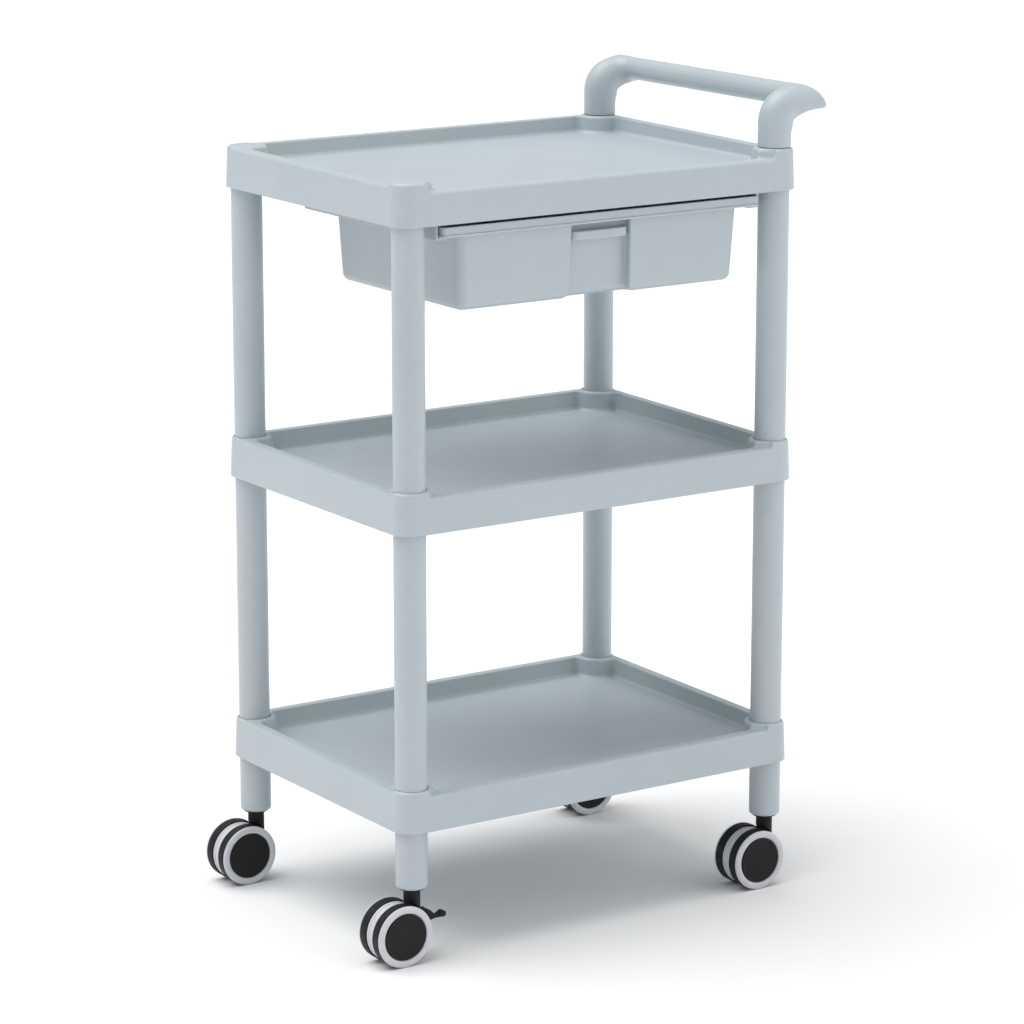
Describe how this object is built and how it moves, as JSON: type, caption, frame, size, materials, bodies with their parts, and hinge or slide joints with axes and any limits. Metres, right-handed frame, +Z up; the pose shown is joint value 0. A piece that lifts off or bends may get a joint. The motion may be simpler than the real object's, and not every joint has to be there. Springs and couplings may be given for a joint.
{
  "type": "utility cart",
  "caption": "Moulded plastic utility cart: tray shelves on round posts, a hanging drawer, an end push handle and twin-wheel swivel casters with brakes.",
  "frame": {"origin": "on the floor under the centre of the overall box", "axes": "+Z up, +X along the trays towards the push handle, -Y out of the drawer front"},
  "size_m": [0.6554, 0.4216, 1.013],
  "materials": {
    "cart_plastic": "satin moulded",
    "wheel_grey_plastic": "satin moulded",
    "caster_black_plastic": "fine grained",
    "tread_rubber": "smooth",
    "steel": "zinc plated"
  },
  "bodies": {
    "cart_frame": {"bottom_tray": "cart_plastic", "middle_tray": "cart_plastic", "top_tray": "cart_plastic", "lower_post_front_left": "cart_plastic", "upper_post_front_left": "cart_plastic", "leg_front_left": "cart_plastic", "lower_post_front_right": "cart_plastic", "upper_post_front_right": "cart_plastic", "leg_front_right": "cart_plastic", "lower_post_back_left": "cart_plastic", "upper_post_back_left": "cart_plastic", "leg_back_left": "cart_plastic", "lower_post_back_right": "cart_plastic", "upper_post_back_right": "cart_plastic", "leg_back_right": "cart_plastic", "push_handle": "cart_plastic", "drawer_rail_left": "cart_plastic", "drawer_rail_right": "cart_plastic", "drawer_rail_screws": "steel", "caster_sockets": "caster_black_plastic", "caster_stems": "steel"},
    "drawer": {"drawer": "cart_plastic"},
    "caster_front_left": {"caster_neck_front_left": "caster_black_plastic", "thread_guard_front_left": "wheel_grey_plastic", "axle_front_left": "steel"},
    "wheel_front_left_a": {"wheel_rim_front_left_a": "wheel_grey_plastic", "wheel_tread_front_left_a": "tread_rubber", "wheel_cap_front_left_a": "caster_black_plastic"},
    "wheel_front_left_b": {"wheel_rim_front_left_b": "wheel_grey_plastic", "wheel_tread_front_left_b": "tread_rubber", "wheel_cap_front_left_b": "caster_black_plastic"},
    "brake_lever_front_left": {"brake_lever_front_left": "caster_black_plastic"},
    "caster_front_right": {"caster_neck_front_right": "caster_black_plastic", "thread_guard_front_right": "wheel_grey_plastic", "axle_front_right": "steel"},
    "wheel_front_right_a": {"wheel_rim_front_right_a": "wheel_grey_plastic", "wheel_tread_front_right_a": "tread_rubber", "wheel_cap_front_right_a": "caster_black_plastic"},
    "wheel_front_right_b": {"wheel_rim_front_right_b": "wheel_grey_plastic", "wheel_tread_front_right_b": "tread_rubber", "wheel_cap_front_right_b": "caster_black_plastic"},
    "caster_back_left": {"caster_neck_back_left": "caster_black_plastic", "thread_guard_back_left": "wheel_grey_plastic", "axle_back_left": "steel"},
    "wheel_back_left_a": {"wheel_rim_back_left_a": "wheel_grey_plastic", "wheel_tread_back_left_a": "tread_rubber", "wheel_cap_back_left_a": "caster_black_plastic"},
    "wheel_back_left_b": {"wheel_rim_back_left_b": "wheel_grey_plastic", "wheel_tread_back_left_b": "tread_rubber", "wheel_cap_back_left_b": "caster_black_plastic"},
    "caster_back_right": {"caster_neck_back_right": "caster_black_plastic", "thread_guard_back_right": "wheel_grey_plastic", "axle_back_right": "steel"},
    "wheel_back_right_a": {"wheel_rim_back_right_a": "wheel_grey_plastic", "wheel_tread_back_right_a": "tread_rubber", "wheel_cap_back_right_a": "caster_black_plastic"},
    "wheel_back_right_b": {"wheel_rim_back_right_b": "wheel_grey_plastic", "wheel_tread_back_right_b": "tread_rubber", "wheel_cap_back_right_b": "caster_black_plastic"},
    "brake_lever_back_right": {"brake_lever_back_right": "caster_black_plastic"}
  },
  "joints": [
    {"name": "drawer_slide", "type": "slide", "parent": "cart_frame", "child": "drawer", "axis": [0, -1, 0], "range_m": [0, 0.22]},
    {"name": "swivel_front_left", "type": "hinge", "parent": "cart_frame", "child": "caster_front_left", "pos_m": [-0.2669, -0.1858, 0.08], "axis": [0, 0, 1], "continuous": true},
    {"name": "wheel_spin_front_left_a", "type": "hinge", "parent": "caster_front_left", "child": "wheel_front_left_a", "pos_m": [-0.2897, -0.1858, 0.038], "axis": [0, 1, 0], "continuous": true},
    {"name": "wheel_spin_front_left_b", "type": "hinge", "parent": "caster_front_left", "child": "wheel_front_left_b", "pos_m": [-0.2897, -0.1858, 0.038], "axis": [0, 1, 0], "continuous": true},
    {"name": "brake_front_left", "type": "hinge", "parent": "caster_front_left", "child": "brake_lever_front_left", "pos_m": [-0.2494, -0.1858, 0.056], "axis": [0, 1, 0], "range_deg": [0, 15]},
    {"name": "swivel_front_right", "type": "hinge", "parent": "cart_frame", "child": "caster_front_right", "pos_m": [0.2597, -0.1858, 0.08], "axis": [0, 0, 1], "continuous": true},
    {"name": "wheel_spin_front_right_a", "type": "hinge", "parent": "caster_front_right", "child": "wheel_front_right_a", "pos_m": [0.2369, -0.1858, 0.038], "axis": [0, 1, 0], "continuous": true},
    {"name": "wheel_spin_front_right_b", "type": "hinge", "parent": "caster_front_right", "child": "wheel_front_right_b", "pos_m": [0.2369, -0.1858, 0.038], "axis": [0, 1, 0], "continuous": true},
    {"name": "swivel_back_left", "type": "hinge", "parent": "cart_frame", "child": "caster_back_left", "pos_m": [-0.2669, 0.1858, 0.08], "axis": [0, 0, 1], "continuous": true},
    {"name": "wheel_spin_back_left_a", "type": "hinge", "parent": "caster_back_left", "child": "wheel_back_left_a", "pos_m": [-0.2897, 0.1858, 0.038], "axis": [0, 1, 0], "continuous": true},
    {"name": "wheel_spin_back_left_b", "type": "hinge", "parent": "caster_back_left", "child": "wheel_back_left_b", "pos_m": [-0.2897, 0.1858, 0.038], "axis": [0, 1, 0], "continuous": true},
    {"name": "swivel_back_right", "type": "hinge", "parent": "cart_frame", "child": "caster_back_right", "pos_m": [0.2597, 0.1858, 0.08], "axis": [0, 0, 1], "continuous": true},
    {"name": "wheel_spin_back_right_a", "type": "hinge", "parent": "caster_back_right", "child": "wheel_back_right_a", "pos_m": [0.2369, 0.1858, 0.038], "axis": [0, 1, 0], "continuous": true},
    {"name": "wheel_spin_back_right_b", "type": "hinge", "parent": "caster_back_right", "child": "wheel_back_right_b", "pos_m": [0.2369, 0.1858, 0.038], "axis": [0, 1, 0], "continuous": true},
    {"name": "brake_back_right", "type": "hinge", "parent": "caster_back_right", "child": "brake_lever_back_right", "pos_m": [0.2772, 0.1858, 0.056], "axis": [0, 1, 0], "range_deg": [0, 15]}
  ]
}
